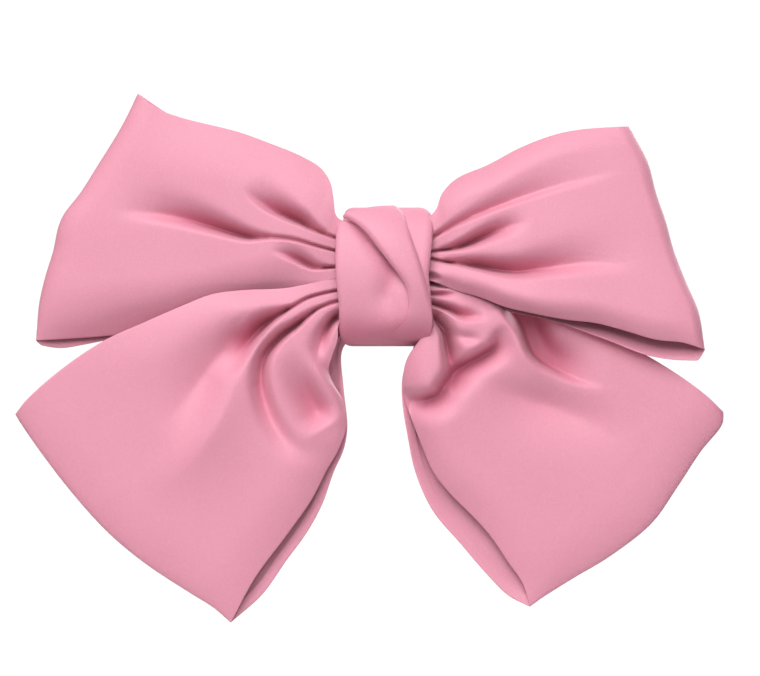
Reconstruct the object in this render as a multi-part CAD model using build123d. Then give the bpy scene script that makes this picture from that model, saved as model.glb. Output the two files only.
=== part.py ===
from build123d import *
import math
import os

# A large satin bow barrette on a spring clip.
# Millimetres. +X runs along the clip towards its clasp, -Y is the face of the bow, +Z is up.
# The origin is the middle of the gap that holds the hair.

# ---- driving dimensions: clip -------------------------------------------------------
CLIP_LENGTH = 80.0
PLATE_WIDTH = 9.6
PLATE_THICKNESS = 0.6
PLATE_RISE = 8.0           # how far the middle of the plate stands in front of its ends
PLATE_MIDDLE_Y = -6.8
PLATE_CORNER_RADIUS = 1.5
SEWING_HOLE_RADIUS = 0.9
SEWING_HOLE_X = 26.0

HAIR_GAP = 5.6             # between the tension bar and the locking arm
ARM_THICKNESS = 0.8
ARM_RISE = 0.9
ARM_WIDTH = 5.2
ARM_HINGE_WIDTH = 7.6
ARM_CLASP_WIDTH = 8.4
BAR_THICKNESS = 0.4
BAR_WIDTH = 5.0
BAR_FREE_END_X = 30.0

PIN_X = -37.4
PIN_RADIUS = 0.8
PIN_HEAD_RADIUS = 1.5
PIN_HEAD_THICKNESS = 0.5
RUNNING_CLEARANCE = 0.05
KNUCKLE_SPLIT_Z = 1.9      # the tension bar's knuckle lies inside this, the arm's outside

WINDOW_X = (33.3, 38.1)
WINDOW_HALF_WIDTH = 2.4
SADDLE_X = 35.4
SADDLE_LENGTH = 6.6
SADDLE_WIDTH = 7.2
SADDLE_THICKNESS = 0.6
RIVET_RADIUS = 0.6
RIVET_HEAD_RADIUS = 1.1
RIVET_HEAD_THICKNESS = 0.35
RIVET_SPACING = 5.2
FINGER_X = (34.2, 37.2)
FINGER_THICKNESS = 0.5
FINGER_ROOT_Y = 1.7
FINGER_TIP_Y = 8.0
FINGER_INNER_Z = 1.2

# ---- driving dimensions: bow --------------------------------------------------------
RIBBON_MIDDLE_Y = -15.5    # the plane that the loops and tails puff out from, near the knot
WAIST_LENGTH = 21.6
WAIST_HEIGHT = 27.0
WAIST_DEPTH = 12.5
THREAD_BAND_LENGTH = 6.0
THREAD_BAND_THICKNESS = 0.7
FELT_THICKNESS = 1.05
FELT_LENGTH = 64.0
FELT_WIDTH = 12.0
KNOT_MIDDLE_Y = -15.9
KNOT_FRONT_WIDTH = 27.6
KNOT_BACK_WIDTH = 15.0
KNOT_HEIGHT = 39.6
KNOT_DEPTH = 23.4
KNOT_WALL = 1.5
STITCH_RADIUS = 0.22
STITCH_LENGTH = 2.4
STITCH_COUNT = 5
STITCH_SLANT = 35

FIT_GAP = 0.05             # hairline between pieces that touch in the real thing


# ---- helpers -------------------------------------------------------------------------
def arc_radius(half_chord, rise):
    """Radius of the arc with this half chord and rise."""
    return (half_chord**2 + rise**2) / (2 * rise)


def arc_y(x, middle_y, radius):
    """Y of an arc that is nearest the bow at x = 0."""
    return middle_y + radius - math.sqrt(radius**2 - x**2)


def arched_strip(middle_y, radius, thickness, width, x_low, x_high):
    """A strip bent about a Z axis, bowed towards the face of the bow."""
    outer = Cylinder(radius + thickness / 2, width)
    inner = Cylinder(radius - thickness / 2, width)
    band = Pos(0, middle_y + radius, 0) * (outer - inner)
    length = x_high - x_low
    window = Pos((x_low + x_high) / 2, middle_y, 0) * Box(length, radius, width + 2)
    return band & window


def plan_prism(outline_points, corner_radius=0.0):
    """A tall prism along Y over an outline given as (x, z) points."""
    outline = make_face(Polyline(*[(x, z) for x, z in outline_points], close=True))
    if corner_radius:
        outline = fillet(outline.vertices(), corner_radius)
    return extrude(Plane.XZ * outline, amount=60, both=True)


def rod_z(x, y, radius, z_low, z_high):
    """A round rod along Z."""
    return Pos(x, y, (z_low + z_high) / 2) * Cylinder(radius, z_high - z_low)


def save(solid, node):
    """Write one piece as its own STEP file."""
    solid.label = node
    export_step(solid, f"parts/{node}.step")


# ---- sizes worked out from the driving dimensions --------------------------------------
HALF_CLIP = CLIP_LENGTH / 2
PLATE_RADIUS = arc_radius(HALF_CLIP, PLATE_RISE)
ARM_MIDDLE_Y = HAIR_GAP / 2 + ARM_THICKNESS / 2
ARM_RADIUS = arc_radius(-PIN_X, ARM_RISE)
ARM_END_Y = arc_y(PIN_X, ARM_MIDDLE_Y, ARM_RADIUS)
PIN_HOLE_RADIUS = PIN_RADIUS + RUNNING_CLEARANCE
ARM_KNUCKLE_RADIUS = PIN_HOLE_RADIUS + ARM_THICKNESS
PIN_Y = ARM_END_Y - (PIN_HOLE_RADIUS + ARM_THICKNESS / 2)
BAR_MIDDLE_Y = -HAIR_GAP / 2 - BAR_THICKNESS / 2
BAR_KNUCKLE_RADIUS = PIN_HOLE_RADIUS + BAR_THICKNESS
BAR_END_Y = PIN_Y - (PIN_HOLE_RADIUS + BAR_THICKNESS / 2)
BAR_RADIUS = arc_radius(-PIN_X, BAR_END_Y - BAR_MIDDLE_Y)
EAR_INNER_Z = PLATE_WIDTH / 2 - PLATE_THICKNESS
SADDLE_TILT = math.degrees(math.asin(SADDLE_X / PLATE_RADIUS))
SADDLE_FRAME = Pos(SADDLE_X, arc_y(SADDLE_X, PLATE_MIDDLE_Y, PLATE_RADIUS), 0) * Rot(0, 0, SADDLE_TILT)


# ---- clip ----------------------------------------------------------------------------
def saddle_rivet_hole():
    """The two rivet holes through the saddle and the plate, as rods to cut with."""
    rod = Rot(90, 0, 0) * Cylinder(RIVET_RADIUS + FIT_GAP, 6)
    return SADDLE_FRAME * (Pos(0, 0, RIVET_SPACING / 2) * rod + Pos(0, 0, -RIVET_SPACING / 2) * rod)


def base_plate():
    """The arched plate that the bow is sewn to, with two ears that carry the hinge pin."""
    strip = arched_strip(
        PLATE_MIDDLE_Y, PLATE_RADIUS, PLATE_THICKNESS, PLATE_WIDTH, -HALF_CLIP, HALF_CLIP
    )
    half_width = PLATE_WIDTH / 2
    outline = [
        (-HALF_CLIP, -half_width),
        (HALF_CLIP, -half_width),
        (HALF_CLIP, half_width),
        (-HALF_CLIP, half_width),
    ]
    strip = strip & plan_prism(outline, PLATE_CORNER_RADIUS)
    for side in (-1, 1):
        hole = Pos(side * SEWING_HOLE_X, 0, 0) * Rot(90, 0, 0) * Cylinder(SEWING_HOLE_RADIUS, 40)
        strip = strip - hole
    strip = strip - saddle_rivet_hole()
    ear_radius = ARM_KNUCKLE_RADIUS + 0.4
    ear_length = 2 * ear_radius
    ear_foot_y = arc_y(PIN_X, PLATE_MIDDLE_Y, PLATE_RADIUS)
    for side in (-1, 1):
        z_middle = side * (EAR_INNER_Z + PLATE_THICKNESS / 2)
        web = Pos(PIN_X, (ear_foot_y + PIN_Y) / 2, z_middle) * Box(
            ear_length, PIN_Y - ear_foot_y, PLATE_THICKNESS
        )
        crown = Pos(PIN_X, PIN_Y, z_middle) * Cylinder(ear_radius, PLATE_THICKNESS)
        strip = strip + web + crown
    pin_hole = rod_z(PIN_X, PIN_Y, PIN_RADIUS + RUNNING_CLEARANCE / 2, -PLATE_WIDTH, PLATE_WIDTH)
    return strip - pin_hole


def hinge_pin():
    """The pin through the ears, with a peened head at each end."""
    shank_end = PLATE_WIDTH / 2 + FIT_GAP
    head_end = shank_end + PIN_HEAD_THICKNESS
    pin = rod_z(PIN_X, PIN_Y, PIN_RADIUS, -shank_end, shank_end)
    for side in (-1, 1):
        head = rod_z(PIN_X, PIN_Y, PIN_HEAD_RADIUS, *sorted((side * shank_end, side * head_end)))
        rim = head.edges().group_by(Axis.Z)[-1 if side > 0 else 0]
        pin = pin + fillet(rim, PIN_HEAD_THICKNESS * 0.6)
    return pin


def locking_arm():
    """The arm that closes over the hair: two knuckles on the pin and a window at its clasp end."""
    arm_tip_x = HALF_CLIP + 0.6
    strip = arched_strip(ARM_MIDDLE_Y, ARM_RADIUS, ARM_THICKNESS, ARM_CLASP_WIDTH, PIN_X, arm_tip_x)
    hinge_half = ARM_HINGE_WIDTH / 2
    arm_half = ARM_WIDTH / 2
    clasp_half = ARM_CLASP_WIDTH / 2
    upper_edge = [
        (PIN_X, hinge_half),
        (PIN_X + 5, hinge_half),
        (PIN_X + 11, arm_half),
        (WINDOW_X[0] - 8, arm_half),
        (WINDOW_X[0] - 2.2, clasp_half),
        (arm_tip_x - 1.6, clasp_half),
        (arm_tip_x, clasp_half - 1.6),
    ]
    lower_edge = [(x, -z) for x, z in reversed(upper_edge)]
    strip = strip & plan_prism(upper_edge + lower_edge)
    window = Pos((WINDOW_X[0] + WINDOW_X[1]) / 2, ARM_END_Y, 0) * Box(
        WINDOW_X[1] - WINDOW_X[0], 6, 2 * WINDOW_HALF_WIDTH
    )
    bar_notch = Pos(PIN_X, ARM_END_Y, 0) * Box(7, 3, 2 * KNUCKLE_SPLIT_Z + 0.2)
    strip = strip - window - bar_notch
    for z_low, z_high in ((-hinge_half, -KNUCKLE_SPLIT_Z - 0.1), (KNUCKLE_SPLIT_Z + 0.1, hinge_half)):
        strip = strip + rod_z(PIN_X, PIN_Y, ARM_KNUCKLE_RADIUS, z_low, z_high)
    return strip - rod_z(PIN_X, PIN_Y, PIN_HOLE_RADIUS, -PLATE_WIDTH, PLATE_WIDTH)


def tension_bar():
    """The leaf on the same pin that presses the hair against the arm."""
    knuckle_half = KNUCKLE_SPLIT_Z - 0.1
    strip = arched_strip(BAR_MIDDLE_Y, BAR_RADIUS, BAR_THICKNESS, BAR_WIDTH, PIN_X, BAR_FREE_END_X)
    bar_half = BAR_WIDTH / 2
    upper_edge = [
        (PIN_X, knuckle_half),
        (PIN_X + 6, knuckle_half),
        (PIN_X + 10, bar_half),
        (BAR_FREE_END_X - 1.5, bar_half),
        (BAR_FREE_END_X, bar_half - 1.5),
    ]
    lower_edge = [(x, -z) for x, z in reversed(upper_edge)]
    strip = strip & plan_prism(upper_edge + lower_edge)
    strip = strip + rod_z(PIN_X, PIN_Y, BAR_KNUCKLE_RADIUS, -knuckle_half, knuckle_half)
    return strip - rod_z(PIN_X, PIN_Y, PIN_HOLE_RADIUS, -PLATE_WIDTH, PLATE_WIDTH)


def clasp_saddle():
    """The small steel saddle riveted inside the plate's end, with a rib that spaces the fingers."""
    foot_y = PLATE_THICKNESS / 2 + 0.1
    foot = Pos(0, foot_y + SADDLE_THICKNESS / 2, 0) * Box(SADDLE_LENGTH, SADDLE_THICKNESS, SADDLE_WIDTH)
    foot = fillet(foot.edges().filter_by(Axis.Y), 0.8)
    rib = Pos(0, foot_y + SADDLE_THICKNESS, 0) * Box(3.0, 1.2, 1.0)
    return SADDLE_FRAME * (foot + rib) - saddle_rivet_hole()


def saddle_rivets():
    """Two rivets that hold the saddle to the plate."""
    outer_face = -PLATE_THICKNESS / 2 - FIT_GAP
    inner_face = PLATE_THICKNESS / 2 + 0.1 + SADDLE_THICKNESS + FIT_GAP
    rivets = []
    for side in (-1, 1):
        shank = Pos(0, (outer_face + inner_face) / 2, 0) * Rot(90, 0, 0) * Cylinder(
            RIVET_RADIUS, inner_face - outer_face
        )
        front = Pos(0, outer_face - RIVET_HEAD_THICKNESS / 2, 0) * Rot(90, 0, 0)
        back = Pos(0, inner_face + RIVET_HEAD_THICKNESS / 2, 0) * Rot(90, 0, 0)
        head = Cylinder(RIVET_HEAD_RADIUS, RIVET_HEAD_THICKNESS)
        rivet = shank + front * head + back * head
        rivets.append(SADDLE_FRAME * Pos(0, 0, side * RIVET_SPACING / 2) * rivet)
    return Compound(children=rivets)


def clasp_finger(side):
    """One sprung finger with a barb on its outer face and a rounded thumb end."""
    x_middle = sum(FINGER_X) / 2
    x_length = FINGER_X[1] - FINGER_X[0]
    barb_y = ARM_END_Y + ARM_THICKNESS / 2 + 0.1
    outer_z = FINGER_INNER_Z + FINGER_THICKNESS
    reach_z = WINDOW_HALF_WIDTH - RUNNING_CLEARANCE
    outline = [
        (FINGER_ROOT_Y, FINGER_INNER_Z),
        (FINGER_TIP_Y, FINGER_INNER_Z),
        (FINGER_TIP_Y, outer_z),
        (barb_y + 1.6, outer_z),
        (barb_y + 0.5, reach_z),
        (barb_y, reach_z),
        (barb_y, outer_z),
        (FINGER_ROOT_Y, outer_z),
    ]
    profile = make_face(Polyline(*[(y, side * z) for y, z in outline], close=True))
    finger = extrude(Plane.YZ * profile, amount=x_length / 2, both=True)
    finger = Pos(x_middle, 0, 0) * finger
    tip_corners = finger.edges().filter_by(Axis.Z).group_by(Axis.Y)[-1]
    return fillet(tip_corners, 1.0)


# ---- bow -----------------------------------------------------------------------------
def soft_panel(sections):
    """A puffed ribbon panel lofted from the knot outwards.

    Each section is (top x, top z, bottom x, bottom z, middle y, depth).
    """
    faces = []
    for top_x, top_z, bottom_x, bottom_z, middle_y, depth in sections:
        top = Vector(top_x, middle_y, top_z)
        bottom = Vector(bottom_x, middle_y, bottom_z)
        across = top - bottom
        middle = (top + bottom) * 0.5
        plane = Plane(origin=middle, x_dir=across, z_dir=across.cross(Vector(0, 1, 0)))
        faces.append(plane * Ellipse(across.length / 2, depth / 2))
    panel = loft(faces[:2])
    for inner, outer in zip(faces[1:], faces[2:]):
        panel = panel + loft([inner, outer])
    return panel


def left_loop():
    """The loop at the viewer's left: a tall end with a peaked upper corner."""
    return soft_panel(
        [
            (-11.2, 13.0, -11.2, 1.0, RIBBON_MIDDLE_Y, 9.0),
            (-14.5, 17.2, -14.5, 0.4, RIBBON_MIDDLE_Y, 11.0),
            (-18.0, 27.5, -19.5, -0.2, RIBBON_MIDDLE_Y, 13.0),
            (-27.0, 35.0, -30.0, -1.0, RIBBON_MIDDLE_Y, 17.0),
            (-46.0, 42.0, -54.0, -5.0, RIBBON_MIDDLE_Y, 21.0),
            (-61.0, 46.5, -76.0, -14.5, RIBBON_MIDDLE_Y + 0.5, 19.0),
            (-69.3, 51.8, -98.3, -18.5, RIBBON_MIDDLE_Y + 2.0, 9.0),
        ]
    )


def right_loop():
    """The loop at the viewer's right: its far end slants down to an open lower corner."""
    return soft_panel(
        [
            (11.2, 13.5, 11.2, -0.4, RIBBON_MIDDLE_Y, 9.0),
            (14.5, 17.2, 14.5, -1.4, RIBBON_MIDDLE_Y, 11.0),
            (18.5, 25.0, 19.0, -2.8, RIBBON_MIDDLE_Y, 13.0),
            (30.0, 32.0, 31.0, -7.0, RIBBON_MIDDLE_Y, 17.0),
            (48.0, 40.0, 52.0, -11.5, RIBBON_MIDDLE_Y, 21.0),
            (60.0, 42.0, 72.0, -16.5, RIBBON_MIDDLE_Y + 0.5, 19.0),
            (68.9, 42.5, 90.2, -23.2, RIBBON_MIDDLE_Y + 2.0, 11.0),
        ]
    )


def left_tail():
    """The tail at the viewer's left, cut off in a long slanting end."""
    return soft_panel(
        [
            (-11.2, -1.2, -11.2, -14.0, RIBBON_MIDDLE_Y, 9.0),
            (-18.5, -2.4, -14.5, -17.6, RIBBON_MIDDLE_Y, 12.0),
            (-23.0, -3.0, -14.1, -22.5, RIBBON_MIDDLE_Y, 14.0),
            (-36.0, -4.2, -12.4, -37.0, RIBBON_MIDDLE_Y, 17.0),
            (-55.0, -8.5, -14.0, -52.0, RIBBON_MIDDLE_Y, 17.0),
            (-79.0, -18.5, -27.5, -73.0, RIBBON_MIDDLE_Y + 1.0, 13.0),
            (-104.0, -39.5, -43.1, -97.5, RIBBON_MIDDLE_Y + 3.0, 6.0),
        ]
    )


def right_tail():
    """The tail at the viewer's right, under the right loop."""
    return soft_panel(
        [
            (11.2, -2.0, 11.2, -14.0, RIBBON_MIDDLE_Y, 9.0),
            (18.5, -4.8, 14.5, -17.6, RIBBON_MIDDLE_Y, 12.0),
            (22.5, -6.4, 13.4, -22.5, RIBBON_MIDDLE_Y, 14.0),
            (36.0, -11.0, 7.4, -37.0, RIBBON_MIDDLE_Y, 16.0),
            (54.0, -15.0, 11.5, -50.0, RIBBON_MIDDLE_Y, 17.0),
            (74.0, -23.0, 24.0, -68.0, RIBBON_MIDDLE_Y + 1.0, 13.0),
            (95.8, -39.7, 40.8, -92.7, RIBBON_MIDDLE_Y + 3.0, 6.0),
        ]
    )


def rod_x(depth, height, length, middle_y):
    """An elliptical rod along X."""
    section = Plane.YZ * Pos(middle_y, 0) * Ellipse(depth / 2, height / 2)
    return extrude(section, amount=length / 2, both=True)


def waist_gather():
    """The pleated middle of the ribbons, squeezed inside the knot."""
    return rod_x(WAIST_DEPTH, WAIST_HEIGHT, WAIST_LENGTH, RIBBON_MIDDLE_Y)


def binding_thread():
    """The band of thread wound round the waist."""
    inner_depth = WAIST_DEPTH + 2 * FIT_GAP
    inner_height = WAIST_HEIGHT + 2 * FIT_GAP
    grow = 2 * THREAD_BAND_THICKNESS
    outer = rod_x(inner_depth + grow, inner_height + grow, THREAD_BAND_LENGTH, RIBBON_MIDDLE_Y)
    return outer - rod_x(inner_depth, inner_height, THREAD_BAND_LENGTH + 2, RIBBON_MIDDLE_Y)


def felt_backing():
    """The felt strip glued between the bow and the plate."""
    gap = PLATE_THICKNESS / 2 + FIT_GAP
    radius = PLATE_RADIUS + gap + FELT_THICKNESS / 2
    middle_y = PLATE_MIDDLE_Y - gap - FELT_THICKNESS / 2
    half_length = FELT_LENGTH / 2
    half_width = FELT_WIDTH / 2
    strip = arched_strip(middle_y, radius, FELT_THICKNESS, FELT_WIDTH, -half_length, half_length)
    outline = [
        (-half_length, -half_width),
        (half_length, -half_width),
        (half_length, half_width),
        (-half_length, half_width),
    ]
    return strip & plan_prism(outline, half_width * 0.8)


def knot_wrap():
    """The satin strip wound round the waist and the plate, narrower behind than in front."""
    outer = rod_x(KNOT_DEPTH, KNOT_HEIGHT, KNOT_FRONT_WIDTH, KNOT_MIDDLE_Y)
    inner_depth = KNOT_DEPTH - 2 * KNOT_WALL
    inner_height = KNOT_HEIGHT - 2 * KNOT_WALL
    ring = outer - rod_x(inner_depth, inner_height, KNOT_FRONT_WIDTH + 2, KNOT_MIDDLE_Y)
    front_y = KNOT_MIDDLE_Y - KNOT_DEPTH
    back_y = KNOT_MIDDLE_Y + KNOT_DEPTH / 2
    half_front = KNOT_FRONT_WIDTH / 2
    half_back = KNOT_BACK_WIDTH / 2
    taper = [
        (-half_front, front_y),
        (half_front, front_y),
        (half_front, KNOT_MIDDLE_Y),
        (half_back, back_y),
        (-half_back, back_y),
        (-half_front, KNOT_MIDDLE_Y),
    ]
    wedge = extrude(make_face(Polyline(*taper, close=True)), amount=KNOT_HEIGHT, both=True)
    return ring & wedge


def knot_stitches():
    """Short stitches that close the knot strip behind the plate."""
    back_y = KNOT_MIDDLE_Y + KNOT_DEPTH / 2 + STITCH_RADIUS + FIT_GAP
    stitches = []
    for index in range(STITCH_COUNT):
        x = (index - (STITCH_COUNT - 1) / 2) * STITCH_LENGTH
        stitch = Cylinder(STITCH_RADIUS, STITCH_LENGTH * 0.8)
        stitches.append(Pos(x, back_y, 0) * Rot(0, STITCH_SLANT, 0) * stitch)
    return Compound(children=stitches)


def main():
    """Build every piece and write it out."""
    os.makedirs("parts", exist_ok=True)
    save(base_plate(), "base_plate")
    save(hinge_pin(), "hinge_pin")
    save(locking_arm(), "locking_arm")
    save(tension_bar(), "tension_bar")
    save(clasp_saddle(), "clasp_saddle")
    save(saddle_rivets(), "saddle_rivets")
    save(clasp_finger(1), "clasp_finger_upper")
    save(clasp_finger(-1), "clasp_finger_lower")
    save(felt_backing(), "felt_backing")
    save(waist_gather(), "waist_gather")
    save(binding_thread(), "binding_thread")
    save(knot_wrap(), "knot_wrap")
    save(knot_stitches(), "knot_stitches")
    save(left_loop(), "left_loop")
    save(right_loop(), "right_loop")
    save(left_tail(), "left_tail")
    save(right_tail(), "right_tail")


main()
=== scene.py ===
"""A large satin bow barrette on a spring clip: its fabric, thread, felt and metal finishes."""
import logging
import math
from dataclasses import dataclass
from enum import Enum

import bmesh
import bpy
import numpy as np
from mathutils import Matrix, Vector


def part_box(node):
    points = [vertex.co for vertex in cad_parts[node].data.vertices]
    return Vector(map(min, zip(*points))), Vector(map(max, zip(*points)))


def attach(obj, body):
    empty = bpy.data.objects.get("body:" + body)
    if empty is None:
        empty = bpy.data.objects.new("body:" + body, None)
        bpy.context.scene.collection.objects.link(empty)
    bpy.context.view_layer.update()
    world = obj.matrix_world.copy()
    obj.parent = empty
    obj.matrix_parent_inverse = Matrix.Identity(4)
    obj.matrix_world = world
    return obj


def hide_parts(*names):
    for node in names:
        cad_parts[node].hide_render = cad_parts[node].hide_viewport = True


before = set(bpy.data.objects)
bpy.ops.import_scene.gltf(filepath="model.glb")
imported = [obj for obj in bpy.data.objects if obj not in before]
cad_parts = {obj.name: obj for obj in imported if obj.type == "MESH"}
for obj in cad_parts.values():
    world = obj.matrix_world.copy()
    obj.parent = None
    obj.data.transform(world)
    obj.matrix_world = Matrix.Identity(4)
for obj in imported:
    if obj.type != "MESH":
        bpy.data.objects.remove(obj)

LOG = logging.getLogger("barrette")
MM = 0.001
Point = tuple[float, float]
Place = tuple[float, float, float]
Colour = tuple[float, float, float, float]
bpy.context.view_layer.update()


# ---- curves and profiles ---------------------------------------------------------------
def smooth_curve(points: tuple, count: int) -> np.ndarray:
    """Sample a smooth curve through points, evenly along its length.

    Args:
        points: The points it passes through, of any dimension.
        count: How many samples to return.

    Returns:
        An array of count rows.
    """
    knots = np.asarray(points, dtype=float)
    chord = np.sqrt(np.linalg.norm(np.diff(knots, axis=0), axis=1))
    at = np.concatenate([[0.0], np.cumsum(np.maximum(chord, 1e-6))])
    slope = np.gradient(knots, at, axis=0)
    fine = np.linspace(0.0, at[-1], 40 * len(knots))
    span = np.clip(np.searchsorted(at, fine, side="right") - 1, 0, len(knots) - 2)
    width = (at[span + 1] - at[span])[:, None]
    t = (fine[:, None] - at[span][:, None]) / width
    curve = (
        (2 * t**3 - 3 * t**2 + 1) * knots[span]
        + (t**3 - 2 * t**2 + t) * width * slope[span]
        + (3 * t**2 - 2 * t**3) * knots[span + 1]
        + (t**3 - t**2) * width * slope[span + 1]
    )
    run = np.concatenate([[0.0], np.cumsum(np.linalg.norm(np.diff(curve, axis=0), axis=1))])
    even = np.linspace(0.0, run[-1], count)
    return np.stack([np.interp(even, run, curve[:, k]) for k in range(knots.shape[1])], axis=1)


def read_curve(points: tuple, at: np.ndarray, count: int) -> np.ndarray:
    """Read a smooth curve in a plane at fractions of its length.

    Args:
        points: The points it passes through.
        at: The fractions to read at.
        count: How many samples the curve is made of.

    Returns:
        One (x, z) row for each fraction.
    """
    line = smooth_curve(points, count)
    steps = np.linspace(0.0, 1.0, count)
    return np.stack([np.interp(at, steps, line[:, k]) for k in (0, 1)], axis=1)


def profile(where: np.ndarray, stops: tuple[Point, ...]) -> np.ndarray:
    """A smooth one-dimensional profile through (place, value) stops, read at each place."""
    line = smooth_curve(stops, 200)
    return np.interp(where, line[:, 0], line[:, 1])


def smoothstep(value: np.ndarray, low: float, high: float) -> np.ndarray:
    """0 below low, 1 above high and a smooth rise between."""
    t = np.clip((value - low) / (high - low), 0.0, 1.0)
    return t * t * (3 - 2 * t)


def round_rim(distance: np.ndarray, radius: float) -> np.ndarray:
    """The height of a quarter round, from 0 at its edge to 1 at its radius."""
    t = np.clip(distance / radius, 0.0, 1.0)
    return np.sqrt(np.maximum(1.0 - (1.0 - t) ** 2, 0.0))


# ---- folds -----------------------------------------------------------------------------
@dataclass(frozen=True)
class Fold:
    """One pleat line on a panel, in mm in the plane of the bow.

    Attributes:
        line: The points that it runs through, from the knot outwards.
        lift: How far it stands towards the viewer. Negative is a valley.
        left: Its half widths on the left of its run, at its start and its end.
        right: Its half widths on the right of its run, at its start and its end.
            The wider side dives straight under the narrower one, which makes a wall.
        start: The share of its lift that it has where it starts.
        rise: The fraction of its length over which it reaches its full lift.
        fade: The fractions of its length where it starts and stops fading out.
        flare: How late it widens. 1 is evenly along its length.
    """

    line: tuple[Point, ...]
    lift: float
    left: Point
    right: Point
    start: float = 0.4
    rise: float = 0.4
    fade: Point = (0.5, 1.0)
    flare: float = 1.4

    def depth(self, x: np.ndarray, z: np.ndarray) -> np.ndarray:
        """How far the fold lifts the cloth at each place.

        Args:
            x: Places across the bow, in mm.
            z: Places up the bow, in mm.

        Returns:
            The lift in mm, with the shape of x.
        """
        curve = smooth_curve(self.line, 120)
        run = np.gradient(curve, axis=0)
        run /= np.linalg.norm(run, axis=1)[:, None]
        flat = np.stack([x.ravel(), z.ravel()], axis=1)
        gap = flat[:, None, :] - curve[None, :, :]
        near = np.argmin((gap**2).sum(axis=2), axis=1)
        offset = gap[np.arange(len(flat)), near]
        along = near / (len(curve) - 1)
        side = run[near, 0] * offset[:, 1] - run[near, 1] * offset[:, 0]
        distance = np.linalg.norm(offset, axis=1)
        left = self.left[0] + (self.left[1] - self.left[0]) * along**self.flare
        right = self.right[0] + (self.right[1] - self.right[0]) * along**self.flare
        width = np.where(side > 0, left, right)
        strength = 1.0 - smoothstep(along, *self.fade)
        strength = strength * (self.start + (1.0 - self.start) * smoothstep(along, 0.0, self.rise))
        wide = width > 1.2 * np.where(side > 0, right, left)
        reach = distance / width
        kernel = np.exp(-np.where(wide, reach**1.25 * (1 + 0.15 * reach**2), reach**2))
        return (self.lift * strength * kernel).reshape(x.shape)


def crease(line: tuple[Point, ...]) -> Fold:
    """A tight crease between two pleats, where they lie pressed together by the knot."""
    return Fold(line, lift=-3.2, left=(0.25, 0.3), right=(0.35, 0.6), start=1.0, fade=(0.8, 1.0))


def gathers(*lines: tuple[Point, ...]) -> tuple[Fold, ...]:
    """Soft valleys that open out from the waist across a back layer.

    Args:
        *lines: The points that each valley runs through, from the waist outwards.

    Returns:
        One fold for each line.
    """
    return tuple(
        Fold(line, lift=-4.0, left=(0.7, 3.4), right=(0.5, 2.2), start=1.0, fade=(0.25, 1.0))
        for line in lines
    )


# ---- finishes --------------------------------------------------------------------------
class Nodes:
    """A short way to build a material's node tree."""

    def __init__(self, name: str) -> None:
        """Start an empty material of this name."""
        self.material = bpy.data.materials.new(name)
        self.material.use_nodes = True
        self.tree = self.material.node_tree
        self.shader = self.tree.nodes["Principled BSDF"]

    def add(self, kind: str, **inputs: object) -> bpy.types.Node:
        """Add a node and set its inputs or properties by name.

        Args:
            kind: The node's type, such as ShaderNodeTexNoise.
            **inputs: Input or property values. An output socket is linked.

        Returns:
            The new node.
        """
        node = self.tree.nodes.new(kind)
        for key, value in inputs.items():
            label = key.replace("_", " ")
            sockets = {socket.name.lower(): socket for socket in reversed(node.inputs)}
            if label.lower() in sockets:
                self.feed(sockets[label.lower()], value)
            else:
                setattr(node, key, value)
        return node

    def feed(self, socket: bpy.types.NodeSocket, value: object) -> None:
        """Link an output to a socket, or set the socket's value.

        Args:
            socket: The input to set.
            value: An output socket, or a plain value.
        """
        if isinstance(value, bpy.types.NodeSocket):
            self.tree.links.new(value, socket)
        else:
            socket.default_value = value

    def set_shader(self, **values: object) -> None:
        """Set the shader's own values by input name."""
        for name, value in values.items():
            self.shader.inputs[name.replace("_", " ")].default_value = value

    def dress_shader(self, **sources: bpy.types.NodeSocket) -> None:
        """Link outputs to the shader's inputs by name."""
        for name, source in sources.items():
            self.tree.links.new(source, self.shader.inputs[name.replace("_", " ")])

    def place(self, uv_map: str | None = None) -> bpy.types.NodeSocket:
        """Find where a pattern is read.

        Args:
            uv_map: The UV map to read. None is object coordinates, in metres.

        Returns:
            The coordinates' socket.
        """
        if uv_map:
            return self.add("ShaderNodeUVMap", uv_map=uv_map).outputs["UV"]
        return self.add("ShaderNodeTexCoord").outputs["Object"]

    def mix(self, factor: object, first: object, second: Colour) -> bpy.types.NodeSocket:
        """Blend two colours.

        Args:
            factor: The share of the second colour.
            first: The first colour, or its socket.
            second: The second colour.

        Returns:
            The blended colour's socket.
        """
        ramp = self.add("ShaderNodeMix", data_type="RGBA")
        self.feed(ramp.inputs[0], factor)
        self.feed(ramp.inputs[6], first)
        self.feed(ramp.inputs[7], second)
        return ramp.outputs[2]

    def join(self, operation: str, first: object, second: object) -> bpy.types.Node:
        """Add a maths node.

        Args:
            operation: What it does to its inputs.
            first: The first input.
            second: The second input.

        Returns:
            The new node.
        """
        node = self.add("ShaderNodeMath", operation=operation)
        self.feed(node.inputs[0], first)
        self.feed(node.inputs[1], second)
        return node

    def raise_bump(self, height: object, strength: float, distance: float) -> bpy.types.Node:
        """Add a bump node.

        Args:
            height: The socket that gives the height.
            strength: The bump's strength.
            distance: The height's scale, in metres.

        Returns:
            The new node.
        """
        return self.add("ShaderNodeBump", height=height, strength=strength, distance=distance)

    def range(self, value: object, low: float, high: float) -> bpy.types.NodeSocket:
        """Map 0 to 1 onto low to high."""
        return self.add("ShaderNodeMapRange", value=value, to_min=low, to_max=high).outputs["Result"]


def grey(level: float) -> Colour:
    """An opaque grey."""
    return (level, level, level, 1.0)


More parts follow.
